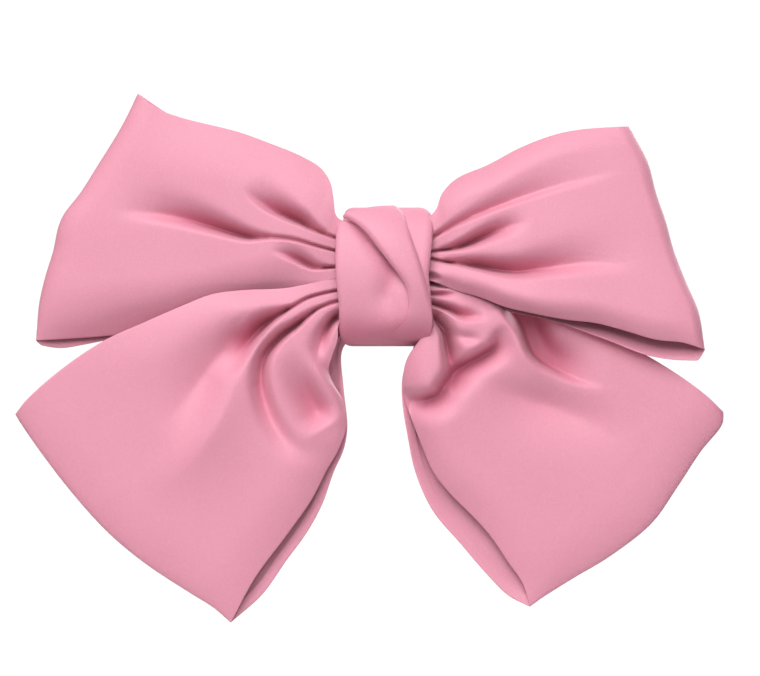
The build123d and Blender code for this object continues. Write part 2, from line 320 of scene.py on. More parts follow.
@dataclass(frozen=True)
class SatinCrepe:
    """Heavy crepe-backed satin: a soft broad gloss over a fine pebbled weave, with shade painted into its
    folds.

    Attributes:
        colour: The cloth's own colour, linear.
        deep: The colour where the dye lies a little heavier.
        painted_shade: A darker, redder colour painted deep in the folds and on the underside of the knot,
            as painted shade for the light that bounces between the cloth there.
        painted_shade_share: How much of that painted shade the deepest places take on.
        roughness: The middle of its roughness.
        sheen: How much its fibre ends light up at a glancing angle.
        grain: The size of one crepe pebble, in metres.
        grain_height: The height of the pebbles, in metres.
        thread_scale: How fine its warp and weft are.
    """

    colour: Colour = (0.69, 0.275, 0.368, 1.0)
    deep: Colour = (0.655, 0.248, 0.338, 1.0)
    painted_shade: Colour = (0.50, 0.115, 0.19, 1.0)
    painted_shade_share: float = 0.85
    roughness: float = 0.58
    sheen: float = 0.25
    grain: float = 0.00055
    grain_height: float = 0.000035
    thread_scale: float = 700.0

    def build(self, name: str) -> bpy.types.Material:
        """Make the material.

        Args:
            name: The material's name.

        Returns:
            The finished material.
        """
        nodes = Nodes(name)
        place = nodes.place()
        cloud = nodes.add("ShaderNodeTexNoise", vector=place, scale=45.0, detail=2.0)
        pebble = nodes.add("ShaderNodeTexNoise", vector=place, scale=1.0 / self.grain, detail=3.0)
        weave = nodes.place("weave")
        warp = nodes.add("ShaderNodeTexWave", vector=weave, scale=self.thread_scale, distortion=1.5)
        warp.bands_direction = "X"
        weft = nodes.add("ShaderNodeTexWave", vector=weave, scale=self.thread_scale, distortion=1.5)
        weft.bands_direction = "Y"
        cloth = nodes.mix(cloud.outputs["Fac"], self.colour, self.deep)
        # Painted shade: a mesh attribute marks where the cloth lies deep in a fold or under the knot, and
        # there the colour is darkened towards a deep red.
        shade_attribute = nodes.add("ShaderNodeAttribute")
        shade_attribute.attribute_name = "painted_shade"
        share = nodes.range(shade_attribute.outputs["Fac"], 0.0, self.painted_shade_share)
        cloth = nodes.mix(share, cloth, self.painted_shade)
        speck = nodes.range(pebble.outputs["Fac"], 0.90, 1.10)
        tinted = nodes.add("ShaderNodeVectorMath", operation="SCALE")
        nodes.feed(tinted.inputs[0], cloth)
        nodes.feed(tinted.inputs["Scale"], speck)
        nodes.dress_shader(Base_Color=tinted.outputs[0])
        rough = nodes.range(pebble.outputs["Fac"], self.roughness - 0.06, self.roughness + 0.06)
        nodes.dress_shader(Roughness=rough)
        threads = nodes.join("ADD", warp.outputs["Fac"], weft.outputs["Fac"])
        fine = nodes.raise_bump(threads.outputs[0], 0.25, self.grain_height)
        crepe = nodes.raise_bump(pebble.outputs["Fac"], 0.6, self.grain_height)
        nodes.feed(crepe.inputs["Normal"], fine.outputs["Normal"])
        nodes.dress_shader(Normal=crepe.outputs["Normal"])
        nodes.set_shader(
            Specular_IOR_Level=0.55, Sheen_Weight=self.sheen, Sheen_Roughness=0.45,
            Sheen_Tint=(1.0, 0.82, 0.88, 1.0),
        )
        return nodes.material


@dataclass(frozen=True)
class Felt:
    """Pressed felt: matted short fibres.

    Attributes:
        colour: The felt's own colour, linear.
        fibre_height: How far its fibres stand up, in metres.
    """

    colour: Colour = (0.62, 0.20, 0.30, 1.0)
    fibre_height: float = 0.00025

    def build(self, name: str) -> bpy.types.Material:
        """Make the material.

        Args:
            name: The material's name.

        Returns:
            The finished material.
        """
        nodes = Nodes(name)
        place = nodes.place()
        mat = nodes.add("ShaderNodeTexNoise", vector=place, scale=1400.0, detail=6.0, roughness=0.7)
        lumps = nodes.add("ShaderNodeTexNoise", vector=place, scale=300.0, detail=3.0)
        pale = tuple(min(1.0, channel * 1.35) for channel in self.colour[:3]) + (1.0,)
        nodes.dress_shader(Base_Color=nodes.mix(mat.outputs["Fac"], self.colour, pale))
        both = nodes.join("ADD", mat.outputs["Fac"], lumps.outputs["Fac"])
        bump = nodes.raise_bump(both.outputs[0], 0.9, self.fibre_height)
        nodes.dress_shader(Normal=bump.outputs["Normal"])
        nodes.set_shader(Roughness=0.95, Sheen_Weight=0.5, Sheen_Roughness=0.6)
        return nodes.material


@dataclass(frozen=True)
class Thread:
    """Twisted polyester thread, with the twist as a slanted ridge.

    Attributes:
        colour: The thread's own colour, linear.
        ridge_height: How far its twist stands up, in metres.
    """

    colour: Colour = (0.66, 0.20, 0.32, 1.0)
    ridge_height: float = 0.00006

    def build(self, name: str) -> bpy.types.Material:
        """Make the material.

        Args:
            name: The material's name.

        Returns:
            The finished material.
        """
        nodes = Nodes(name)
        place = nodes.place()
        turned = nodes.add("ShaderNodeMapping", vector=place)
        turned.inputs["Rotation"].default_value = (0.4, 0.7, 0.5)
        twist = nodes.add("ShaderNodeTexWave", vector=turned.outputs[0], scale=1500.0, distortion=0.6)
        pale = tuple(min(1.0, channel * 1.4) for channel in self.colour[:3]) + (1.0,)
        nodes.dress_shader(Base_Color=nodes.mix(twist.outputs["Fac"], self.colour, pale))
        bump = nodes.raise_bump(twist.outputs["Fac"], 0.7, self.ridge_height)
        nodes.dress_shader(Normal=bump.outputs["Normal"])
        nodes.set_shader(Roughness=0.5, Sheen_Weight=0.2)
        return nodes.material


class Lay(Enum):
    """The way that the grain of a metal runs."""

    ALONG_CLIP = (12.0, 1.0, 1.0)
    ACROSS_CLIP = (1.0, 1.0, 12.0)
    NONE = (1.0, 1.0, 1.0)


@dataclass(frozen=True)
class PlatedSteel:
    """Nickel-plated steel strip with rolling marks, fine scratches and handling haze.

    Attributes:
        colour: The plating's colour.
        roughness: The middle of its roughness.
        lay: The way that its rolling marks run.
        marks: The depth of its rolling marks, in metres.
    """

    colour: Colour
    roughness: float
    lay: Lay
    marks: float = 0.000012

    def build(self, name: str) -> bpy.types.Material:
        """Make the material.

        Args:
            name: The material's name.

        Returns:
            The finished material.
        """
        nodes = Nodes(name)
        place = nodes.place()
        stretched = nodes.add("ShaderNodeMapping", vector=place)
        stretched.inputs["Scale"].default_value = tuple(1.0 / stretch for stretch in self.lay.value)
        rolling = nodes.add("ShaderNodeTexNoise", vector=stretched.outputs[0], scale=2600.0, detail=2.0)
        haze = nodes.add("ShaderNodeTexNoise", vector=place, scale=160.0, detail=3.0)
        dull = tuple(channel * 0.82 for channel in self.colour[:3]) + (1.0,)
        nodes.dress_shader(Base_Color=nodes.mix(haze.outputs["Fac"], self.colour, dull))
        streaks = nodes.range(rolling.outputs["Fac"], self.roughness - 0.14, self.roughness)
        wear = nodes.join("MULTIPLY_ADD", haze.outputs["Fac"], 0.16)
        nodes.feed(wear.inputs[2], streaks)
        nodes.dress_shader(Roughness=wear.outputs[0])
        bump = nodes.raise_bump(rolling.outputs["Fac"], 0.25, self.marks)
        nodes.dress_shader(Normal=bump.outputs["Normal"])
        nodes.set_shader(Metallic=1.0)
        return nodes.material


# ---- cloth panels ----------------------------------------------------------------------
@dataclass(frozen=True)
class Layer:
    """The outline and folds of one layer of a panel, in mm from the middle of the knot.

    Attributes:
        top: Its upper edge, from the knot outwards.
        bottom: Its lower edge, from the knot outwards.
        folds: Its pleats and valleys.
        belly: How far it stands from the middle plane along its length.
    """

    top: tuple[Point, ...]
    bottom: tuple[Point, ...]
    folds: tuple[Fold, ...]
    belly: tuple[Point, ...]


@dataclass(frozen=True)
class Panel:
    """A ribbon that leaves the knot, turns over at its outer end and comes back behind.

    Attributes:
        name: The piece's name.
        node: The CAD node that it stands for.
        outer: The line where it turns over, from the top corner to the bottom one.
        front: Its front layer.
        back: Its back layer.
        lean: How far its top and bottom edges lie behind its middle plane, in mm.
        turn_radius: How far from the outer end the layers start to close.
        edge_gap: Half the gap between its layers at their top and bottom edges.
        edge_reach: How far in from an open edge the layers start to close.
        back_share: How much of the gap at the edges the back layer takes.
        flat: The width and length that the ribbon is cut from, in metres.
        area: The cut's area in square metres, as it narrows towards the waist. It is not used.
        columns: Grid columns in the front and the back layer.
        rows: Grid rows across the ribbon, with its hems.
        hem: The turned-in rows of each hem: how far in each lies and how far behind.
        middle_y: Its middle plane, in mm.
    """

    name: str
    node: str
    outer: tuple[Point, ...]
    front: Layer
    back: Layer
    lean: Point
    flat: Point
    area: float
    turn_radius: float = 6.0
    edge_gap: Point = (3.0, 0.8)
    edge_reach: float = 24.0
    back_share: float = 1.0
    columns: tuple[int, int] = (150, 44)
    rows: int = 124
    hem: tuple[Point, ...] = ((0.15, 0.35), (1.4, 0.5), (3.0, 0.5))
    middle_y: float = -15.5

    def layer_points(
        self, layer: Layer, s: np.ndarray, row: np.ndarray, side: float
    ) -> np.ndarray:
        """Place the points of one layer.

        Args:
            layer: The layer to follow.
            s: How far out each point is, from 0 at the knot to 1 at the turn.
            row: The grid row that each point is on, from the top hem to the bottom one.
            side: -1 for the front layer, 1 for the back one.

        Returns:
            One row for each point: x, y and z in mm, and its share of painted fold shade, from how deep in
                a fold it lies.
        """
        inner_ends = (layer.top[0], layer.bottom[0])
        outer_line = self.outer[:-1] + (layer.bottom[-1],)
        top, bottom = read_curve(layer.top, s, 300), read_curve(layer.bottom, s, 300)
        v, tuck = self.turn_hems(row, np.linalg.norm(top - bottom, axis=1))
        inner, outer = read_curve(inner_ends, v, 300), read_curve(outer_line, v, 300)
        a, b = s[:, None], v[:, None]
        corners = [np.array(p) for p in (layer.top[0], outer_line[0], layer.bottom[0], outer_line[-1])]
        place = (1 - b) * top + b * bottom + (1 - a) * inner + a * outer
        place -= (1 - a) * (1 - b) * corners[0] + a * (1 - b) * corners[1]
        place -= (1 - a) * b * corners[2] + a * b * corners[3]
        length = np.linalg.norm(outer - inner, axis=1)
        breadth = np.linalg.norm(top - bottom, axis=1)
        reach = np.minimum(self.edge_reach, 0.5 * breadth)
        from_edge = np.clip(np.minimum(v, 1 - v) * breadth / reach, 0.0, 1.0)
        across = from_edge * (2 - from_edge)
        close = round_rim((1 - s) * length, self.turn_radius)
        free = smoothstep(s, 0.0, 0.3)
        belly = profile(s, layer.belly)
        share = self.back_share if side > 0 else 1.0
        gap = np.minimum(share * (self.edge_gap[0] * (1 - v) + self.edge_gap[1] * v), belly)
        belly = belly * (1 - free) + (gap + (belly - gap) * across) * free
        lean = ((1 - v) * self.lean[0] + v * self.lean[1]) * smoothstep(s, 0.05, 0.45)
        lift = sum((fold.depth(place[:, 0], place[:, 1]) for fold in layer.folds), np.zeros(len(s)))
        floor = -0.5 * belly
        stand = floor + 0.5 * np.logaddexp(0.0, (belly + lift - floor) / 0.5)
        depth = self.middle_y + lean + side * (stand - tuck) * close
        # Painted shade: the deeper the cloth sinks below its belly, the more of the dark fold colour it is
        # painted with.
        painted_shade = smoothstep(belly - stand, 1.5, 9.0)
        return np.stack([place[:, 0], depth, place[:, 1], painted_shade], axis=1)

    def turn_hems(self, row: np.ndarray, breadth: np.ndarray) -> tuple[np.ndarray, np.ndarray]:
        """Find how far across each row lies, with the outermost rows turned in as hems.

        Args:
            row: The grid row of each point.
            breadth: The ribbon's breadth there, in mm.

        Returns:
            How far down each point is, from 0 to 1, and how far it is tucked behind, in mm.
        """
        turned = len(self.hem)
        open_rows = self.rows - 2 * turned
        v = np.clip((row - turned) / open_rows, 0.0, 1.0)
        tuck = np.zeros(len(row))
        for index, (inward, behind) in enumerate(self.hem, start=1):
            upper = np.isclose(row, turned - index)
            lower = np.isclose(row, self.rows - turned + index)
            v = np.where(upper, inward / breadth, np.where(lower, 1 - inward / breadth, v))
            tuck = np.where(upper | lower, behind, tuck)
        return v, tuck

    def mesh(self) -> bpy.types.Mesh:
        """Make the ribbon's mesh from one grid, wrapped over its outer turn.

        Returns:
            The mesh, in metres.
        """
        front_columns, back_columns = self.columns
        total = front_columns + back_columns
        shape, grid = sheet_grid(total, self.rows)
        share = front_columns / total
        on_front = grid[:, 0] <= share + 1e-6
        s = np.where(on_front, grid[:, 0] / share, (1 - grid[:, 0]) / (1 - share))
        s = 1 - (1 - np.clip(s, 0, 1)) ** 1.3
        row = np.round((1 - grid[:, 1]) * self.rows)
        points = np.zeros((len(grid), 4))
        points[on_front] = self.layer_points(self.front, s[on_front], row[on_front], -1.0)
        points[~on_front] = self.layer_points(self.back, s[~on_front], row[~on_front], 1.0)
        width, length = self.flat
        lay_sheet(shape, grid, points[:, :3], points[:, 3], (length, width))
        margin = len(self.hem) + 2
        inside = [
            vertex for vertex, at in zip(shape.verts, row)
            if margin < at < self.rows - margin and not vertex.is_boundary
        ]
        bmesh.ops.smooth_vert(
            shape, verts=inside, factor=0.5, use_axis_x=True, use_axis_y=True, use_axis_z=True
        )
        return take_mesh(shape, self.name)

    def build(self, finish: bpy.types.Material) -> bpy.types.Object:
        """Make the piece, dress it and place it on the bow.

        Args:
            finish: The satin.

        Returns:
            The finished piece.
        """
        piece = add_piece(self.name, self.mesh(), finish)
        finish_cloth(piece)
        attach(piece, "bow_and_plate")
        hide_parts(self.node)
        return piece


def add_piece(name: str, mesh: bpy.types.Mesh, finish: bpy.types.Material) -> bpy.types.Object:
    """Put a mesh in the scene under its own name, with one material.

    Args:
        name: The piece's name.
        mesh: Its mesh.
        finish: Its material.

    Returns:
        The new piece.
    """
    piece = bpy.data.objects.new(name, mesh)
    mesh.materials.append(finish)
    bpy.context.scene.collection.objects.link(piece)
    LOG.info("built %s", name)
    return piece


def sheet_grid(columns: int, rows: int) -> tuple[bmesh.types.BMesh, np.ndarray]:
    """Start a sheet as a flat grid.

    Args:
        columns: Its faces along its first side.
        rows: Its faces along its second side.

    Returns:
        The grid, and where each vertex lies on it, from 0 to 1 both ways.
    """
    shape = bmesh.new()
    bmesh.ops.create_grid(shape, x_segments=columns, y_segments=rows, size=0.5)
    shape.verts.ensure_lookup_table()
    return shape, np.array([vertex.co[:2] for vertex in shape.verts]) + 0.5


def lay_sheet(
    shape: bmesh.types.BMesh, grid: np.ndarray, points: np.ndarray, painted_shade: np.ndarray, size: Point
) -> None:
    """Move a sheet's grid into place, with its weave map and its share of painted shade.

    Args:
        shape: The flat grid.
        grid: Where each vertex lies on it, from 0 to 1 both ways.
        points: Where each vertex goes, in mm.
        painted_shade: How much painted shade each vertex takes, from 0 to 1, from how deep in a fold it
            lies.
        size: The cloth's size along the grid's two sides, in metres.
    """
    weave = shape.loops.layers.uv.new("weave")
    for face in shape.faces:
        face.smooth = True
        for loop in face.loops:
            u, w = grid[loop.vert.index]
            loop[weave].uv = (u * size[0], w * size[1])
    # Painted shade: each vertex's share of the darker fold colour is kept as a mesh attribute.
    depth = shape.verts.layers.float.new("painted_shade")
    for vertex, place, deep in zip(shape.verts, points, painted_shade):
        vertex.co = place * MM
        vertex[depth] = deep


def take_mesh(shape: bmesh.types.BMesh, name: str) -> bpy.types.Mesh:
    """Turn a shape into a mesh, with its faces outwards, and free it.

    Args:
        shape: The finished shape.
        name: The mesh's name.

    Returns:
        The mesh.
    """
    bmesh.ops.recalc_face_normals(shape, faces=shape.faces)
    mesh = bpy.data.meshes.new(name)
    shape.to_mesh(mesh)
    shape.free()
    return mesh


def finish_cloth(piece: bpy.types.Object, thickness: float = 0.0) -> None:
    """Smooth a sheet, and give it a thickness where it has no hems.

    Args:
        piece: The sheet.
        thickness: The cloth's thickness, in mm.
    """
    if thickness:
        wall = piece.modifiers.new("thickness", "SOLIDIFY")
        wall.thickness = thickness * MM
        wall.offset = 0.0
    soft = piece.modifiers.new("smooth", "SUBSURF")
    soft.levels = 1
    soft.render_levels = 1


# ---- the four ribbon panels ------------------------------------------------------------
LOOP_BELLY = ((0.0, 6.0), (0.25, 8.5), (0.55, 7.0), (0.85, 5.0), (1.0, 3.5))
LOOP_BACK_BELLY = ((0.0, 4.5), (0.25, 5.0), (0.55, 5.0), (0.85, 4.0), (1.0, 3.0))
TAIL_BACK_BELLY = ((0.0, 4.5), (0.25, 4.5), (0.55, 3.5), (0.85, 3.0), (1.0, 2.5))

LEFT_LOOP = Panel(
    name="left_loop_ribbon",
    node="left_loop",
    outer=(
        (-69.3, 51.8), (-74.1, 42.3), (-81.1, 31.0), (-85.6, 23.9), (-90.4, 17.7),
        (-92.0, 14.0), (-93.4, 7.5), (-95.8, -0.3), (-97.5, -8.0), (-98.3, -18.0),
    ),
    front=Layer(
        top=(
            (-9.6, 14.9), (-13.2, 16.9), (-14.1, 21.4), (-14.9, 26.2), (-17.5, 30.4), (-22.8, 33.8),
            (-33.0, 38.0), (-40.8, 40.8), (-57.7, 45.1), (-63.9, 47.6), (-69.3, 51.8),
        ),
        bottom=(
            (-9.6, 0.3), (-20.0, -2.2), (-32.0, -6.5), (-52.0, -12.7), (-72.7, -16.1),
            (-88.5, -17.5), (-98.3, -18.0),
        ),
        folds=(
            crease(((-9.0, 9.4), (-13.6, 10.8), (-17.0, 12.0), (-20.5, 13.5))),
            Fold(((-17.0, 12.0), (-20.5, 13.5), (-23.4, 15.0), (-27.2, 16.7), (-31.4, 18.8), (-36.0, 22.0),
                  (-40.0, 25.5)),
                 lift=-10.5, left=(0.3, 0.9), right=(1.0, 5.5), start=0.3, rise=0.25, fade=(0.25, 1.0),
                 flare=1.0),
            crease(((-9.0, 6.4), (-13.6, 7.2), (-19.4, 8.7), (-24.6, 10.2), (-29.5, 10.9), (-35.5, 11.0))),
            Fold(((-33.0, 11.0), (-38.0, 11.1), (-41.5, 11.9), (-46.0, 13.3), (-51.5, 15.0), (-59.0, 17.0),
                  (-69.0, 18.6), (-80.0, 19.6)),
                 lift=-9.5, left=(0.4, 2.4), right=(0.9, 7.0), start=0.35, rise=0.13, fade=(0.12, 0.95),
                 flare=1.0),
            crease(((-9.0, 2.6), (-13.6, 2.6), (-18.0, 2.3))),
            Fold(((-16.0, 2.4), (-19.5, 2.6), (-22.0, 3.6), (-25.0, 5.2), (-28.5, 6.8), (-32.0, 8.0)),
                 lift=-7.0, left=(0.3, 1.0), right=(0.8, 3.0), start=0.3, rise=0.3, fade=(0.3, 1.0),
                 flare=1.0),
        ),
        belly=LOOP_BELLY,
    ),
    back=Layer(
        top=(
            (-9.6, 14.9), (-13.2, 16.4), (-15.0, 25.6), (-22.8, 33.2), (-40.8, 40.2), (-57.7, 44.6),
            (-69.3, 51.8),
        ),
        bottom=(
            (-9.6, 0.3), (-32.1, -6.8), (-57.5, -14.6), (-78.0, -17.9), (-84.2, -19.1),
            (-91.3, -20.2), (-97.6, -19.3),
        ),
        folds=gathers(
            ((-9.6, 11.0), (-16.0, 15.0), (-26.0, 21.0), (-40.0, 28.0)),
            ((-9.6, 7.4), (-20.0, 9.4), (-32.0, 11.6), (-48.0, 13.0)),
            ((-9.6, 3.6), (-20.0, 2.6), (-31.0, 0.6), (-42.0, -1.4)),
        ),
        belly=LOOP_BACK_BELLY,
    ),
    lean=(0.0, 3.0),
    edge_gap=(3.0, 1.2),
    edge_reach=16.0,
    flat=(0.078, 0.184),
    area=0.0105,
)

RIGHT_LOOP = Panel(
    name="right_loop_ribbon",
    node="right_loop",
    outer=(
        (69.0, 42.5), (70.6, 39.7), (74.5, 32.0), (76.6, 23.9), (79.4, 15.5), (81.6, 7.3),
        (84.8, -1.1), (88.5, -10.1), (90.1, -20.6),
    ),
    front=Layer(
        top=(
            (9.6, 14.4), (14.4, 18.6), (16.3, 23.4), (20.3, 27.6), (29.3, 31.6), (37.7, 36.1),
            (46.8, 39.7), (54.4, 41.4), (69.0, 42.5),
        ),
        bottom=(
            (9.6, -0.8), (12.7, -1.1), (20.3, -3.9), (26.8, -5.8), (33.8, -8.5), (40.3, -10.1),
            (50.7, -12.1), (59.7, -13.2), (67.3, -15.2), (76.3, -17.8), (83.7, -18.6), (90.1, -20.6),
        ),
        folds=(
            Fold(((9.6, 8.7), (13.5, 10.8), (21.1, 15.0), (30.6, 19.1), (40.1, 22.6), (49.6, 25.7),
                  (58.0, 28.0), (66.2, 30.4)),
                 lift=-3.4, left=(0.5, 8.0), right=(0.3, 1.2), start=0.9, fade=(0.35, 1.05)),
            crease(((9.6, 7.0), (13.5, 7.2), (19.8, 8.0))),
            Fold(((16.5, 7.5), (19.8, 8.1), (23.6, 9.3), (28.0, 11.3), (32.5, 13.3), (36.9, 14.9),
                  (42.0, 16.2)),
                 lift=-8.0, left=(0.8, 3.0), right=(0.4, 2.4), start=0.3, rise=0.25, fade=(0.3, 1.0),
                 flare=1.0),
            crease(((9.6, 5.6), (13.5, 5.0), (17.5, 4.2), (21.0, 3.8))),
            Fold(((17.5, 4.2), (22.0, 3.6), (27.0, 2.8), (32.0, 1.9), (38.0, 1.5), (45.0, 2.4), (55.0, 3.8),
                  (66.0, 4.2), (76.0, 4.4)),
                 lift=-9.0, left=(0.8, 7.5), right=(0.4, 3.0), start=0.3, rise=0.18, fade=(0.12, 0.97),
                 flare=1.0),
            Fold(((11.0, 1.4), (17.9, 0.2), (24.2, -2.2), (30.6, -4.8), (36.9, -7.0), (43.3, -8.4),
                  (52.8, -10.0), (65.5, -12.0)),
                 lift=2.0, left=(2.6, 5.0), right=(2.2, 4.2), start=0.8, fade=(0.5, 1.0)),
            Fold(((9.6, 0.8), (13.0, 0.4), (16.5, -1.2)),
                 lift=-5.0, left=(0.7, 0.7), right=(1.0, 1.0), start=1.0, fade=(0.3, 1.0)),
        ),
        belly=LOOP_BELLY,
    ),
    back=Layer(
        top=(
            (9.6, 14.4), (14.4, 18.0), (20.3, 27.0), (29.3, 31.0), (46.8, 39.1), (54.4, 40.9),
            (69.0, 42.5),
        ),
        bottom=(
            (9.6, -2.0), (21.4, -5.8), (33.8, -9.6), (47.9, -12.6), (55.8, -15.4), (63.7, -18.3),
            (73.2, -22.0), (80.6, -23.4), (89.0, -23.7),
        ),
        folds=gathers(
            ((9.6, 10.6), (16.0, 15.0), (27.0, 20.4), (40.0, 25.6)),
            ((9.6, 6.4), (20.0, 8.0), (32.0, 9.4), (46.0, 11.4)),
            ((9.6, 2.4), (20.0, 0.8), (32.0, -2.0), (44.0, -4.4)),
        ),
        belly=LOOP_BACK_BELLY,
    ),
    lean=(0.0, -6.5),
    edge_gap=(3.0, 2.0),
    edge_reach=7.0,
    back_share=0.3,
    turn_radius=3.5,
    flat=(0.070, 0.170),
    area=0.0090,
)

LEFT_TAIL = Panel(
    name="left_tail_ribbon",
    node="left_tail",
    outer=(
        (-103.7, -38.6), (-101.4, -42.5), (-89.9, -58.3), (-78.0, -71.8), (-67.3, -80.8),
        (-54.9, -89.0), (-48.2, -93.2), (-43.1, -97.5),
    ),
    front=Layer(
        top=(
            (-9.0, -1.4), (-13.5, -0.6), (-20.0, -1.7), (-27.6, -3.1), (-40.0, -3.7), (-48.2, -4.8),
            (-57.7, -8.5), (-67.3, -12.7), (-78.9, -18.0), (-91.0, -26.2), (-100.3, -34.4), (-103.7, -38.6),
        ),
        bottom=(
            (-9.0, -11.5), (-12.4, -12.7), (-13.0, -17.7), (-14.6, -22.5), (-15.5, -26.5), (-13.8, -30.7),
            (-11.5, -34.6), (-10.4, -41.7), (-12.7, -48.7), (-16.1, -54.6), (-20.0, -62.3),
            (-27.6, -73.2), (-35.8, -84.2), (-43.1, -97.5),
        ),
        folds=(
            crease(((-9.0, -3.4), (-13.4, -4.0), (-18.3, -5.1), (-21.9, -6.3), (-25.6, -8.5),
                    (-31.0, -11.6))),
            Fold(((-27.0, -9.4), (-31.5, -12.1), (-35.3, -15.2), (-38.9, -19.2), (-43.0, -25.0),
                  (-47.0, -31.0)),
                 lift=-12.0, left=(0.3, 3.0), right=(1.0, 9.0), start=0.4, rise=0.3, fade=(0.25, 0.95),
                 flare=1.0),
            crease(((-9.0, -6.4), (-13.2, -7.0), (-18.3, -8.9), (-22.0, -11.5))),
            Fold(((-19.5, -9.7), (-22.2, -11.7), (-24.5, -13.6), (-27.7, -15.8), (-31.0, -18.7),
                  (-33.2, -21.6), (-34.5, -25.6), (-34.5, -30.3), (-33.2, -36.0), (-31.0, -41.0),
                  (-27.6, -45.9), (-22.3, -49.3), (-16.6, -49.6)),
                 lift=-9.0, left=(0.4, 3.4), right=(0.9, 3.6), start=0.3, rise=0.12, fade=(0.1, 1.1),
                 flare=1.0),
            Fold(((-9.0, -10.2), (-13.6, -11.6), (-15.4, -13.6), (-16.8, -16.2), (-18.3, -20.1),
                  (-19.4, -23.5)),
                 lift=-9.0, left=(0.6, 2.2), right=(0.9, 3.0), start=0.8, rise=0.2, fade=(0.1, 1.15)),
            Fold(((-38.0, -17.0), (-40.0, -24.0), (-43.0, -34.0), (-48.5, -45.0), (-57.5, -56.0),
                  (-66.0, -63.0)),
                 lift=2.9, left=(6.0, 11.0), right=(3.6, 8.0), start=0.2, rise=0.5, fade=(0.5, 1.05)),
            Fold(((-43.0, -17.0), (-49.0, -25.0), (-56.0, -34.5), (-65.0, -43.5)),
                 lift=-3.4, left=(4.0, 6.0), right=(6.0, 8.0), start=0.5, fade=(0.3, 1.0)),
            Fold(((-28.0, -20.5), (-25.5, -25.0), (-22.5, -31.0), (-19.4, -36.5), (-16.0, -42.0)),
                 lift=-6.5, left=(3.5, 4.5), right=(4.2, 4.8), start=0.1, rise=0.7, fade=(0.75, 1.1)),
        ),
        belly=((0.0, 6.0), (0.25, 7.6), (0.5, 5.2), (0.8, 3.4), (1.0, 2.8)),
    ),
    back=Layer(
        top=(
            (-9.0, -1.4), (-20.0, -2.2), (-40.0, -4.2), (-57.7, -9.0), (-78.9, -18.5), (-91.0, -26.7),
            (-103.7, -38.6),
        ),
        bottom=(
            (-9.0, -17.2), (-11.8, -20.0), (-11.3, -31.6), (-10.2, -42.5), (-11.4, -49.3), (-13.9, -54.6),
            (-17.3, -64.2), (-21.8, -72.4), (-27.4, -80.0), (-34.2, -89.6), (-43.1, -97.5),
        ),
        folds=gathers(
            ((-9.0, -3.8), (-18.0, -6.8), (-30.0, -13.0), (-43.0, -22.0)),
            ((-9.0, -7.4), (-16.0, -13.0), (-25.0, -23.0), (-34.0, -38.0)),
            ((-9.6, -12.0), (-14.0, -19.0), (-18.0, -29.0), (-21.0, -44.0)),
        ),
        belly=TAIL_BACK_BELLY,
    ),
    lean=(-3.5, 0.0),
    turn_radius=12.0,
    edge_gap=(3.0, 1.6),
    edge_reach=12.0,
    flat=(0.088, 0.210),
    area=0.0125,
)

